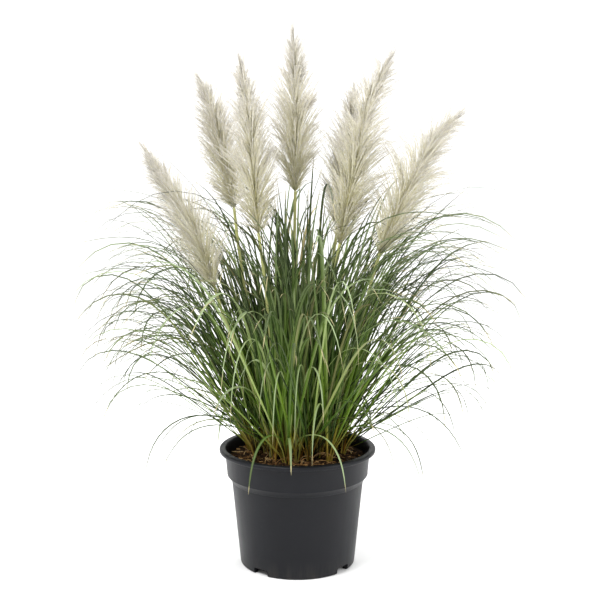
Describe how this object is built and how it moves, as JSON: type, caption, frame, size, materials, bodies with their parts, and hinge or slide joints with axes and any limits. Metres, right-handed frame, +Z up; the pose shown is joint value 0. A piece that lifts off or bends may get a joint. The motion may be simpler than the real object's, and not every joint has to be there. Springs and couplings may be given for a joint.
{
  "type": "potted ornamental grass",
  "caption": "Clump of arching grass blades with upright feathery flower plumes, growing in a round black nursery pot filled with soil.",
  "frame": {"origin": "on the ground under the middle of the pot", "axes": "+Z up, -Y towards the front of the plant as pictured, +X to its right"},
  "size_m": [0.83, 0.83, 0.954],
  "materials": {
    "pot_plastic": "moulded charcoal plastic with a low satin sheen and fine scuffs",
    "soil": "dark crumbly potting soil with bark chips and bits of straw",
    "stem": "smooth yellow-green stalk",
    "plume": "silky cream flower hairs",
    "foliage": "narrow grey-green grass blades with a pale midrib and a satin face"
  },
  "bodies": {
    "root": {"nursery_pot": "pot_plastic", "potting_soil": "soil", "flower_stem_1": "stem", "flower_stem_2": "stem", "flower_stem_3": "stem", "flower_stem_4": "stem", "flower_stem_5": "stem", "flower_stem_6": "stem", "flower_stem_7": "stem", "plume_1": "plume", "plume_2": "plume", "plume_3": "plume", "plume_4": "plume", "plume_5": "plume", "plume_6": "plume", "plume_7": "plume", "leaf_tuft_01": "foliage", "leaf_tuft_02": "foliage", "leaf_tuft_03": "foliage", "leaf_tuft_04": "foliage", "leaf_tuft_05": "foliage", "leaf_tuft_06": "foliage", "leaf_tuft_07": "foliage", "leaf_tuft_08": "foliage", "leaf_tuft_09": "foliage", "leaf_tuft_10": "foliage", "leaf_tuft_11": "foliage", "leaf_tuft_12": "foliage", "leaf_tuft_13": "foliage", "leaf_tuft_14": "foliage", "leaf_tuft_15": "foliage", "leaf_tuft_16": "foliage", "leaf_tuft_17": "foliage", "leaf_tuft_18": "foliage", "leaf_tuft_19": "foliage", "leaf_tuft_20": "foliage", "leaf_tuft_21": "foliage", "leaf_tuft_22": "foliage", "leaf_tuft_23": "foliage", "leaf_tuft_24": "foliage", "leaf_tuft_25": "foliage", "leaf_tuft_26": "foliage", "leaf_tuft_27": "foliage", "leaf_tuft_28": "foliage", "leaf_tuft_29": "foliage", "leaf_tuft_30": "foliage", "leaf_tuft_31": "foliage", "leaf_tuft_32": "foliage", "leaf_tuft_33": "foliage", "leaf_tuft_34": "foliage", "leaf_tuft_35": "foliage", "leaf_tuft_36": "foliage", "leaf_tuft_37": "foliage", "leaf_tuft_38": "foliage", "leaf_tuft_39": "foliage", "leaf_tuft_40": "foliage", "leaf_tuft_41": "foliage", "leaf_tuft_42": "foliage", "leaf_tuft_43": "foliage", "leaf_tuft_44": "foliage"}
  },
  "joints": []
}
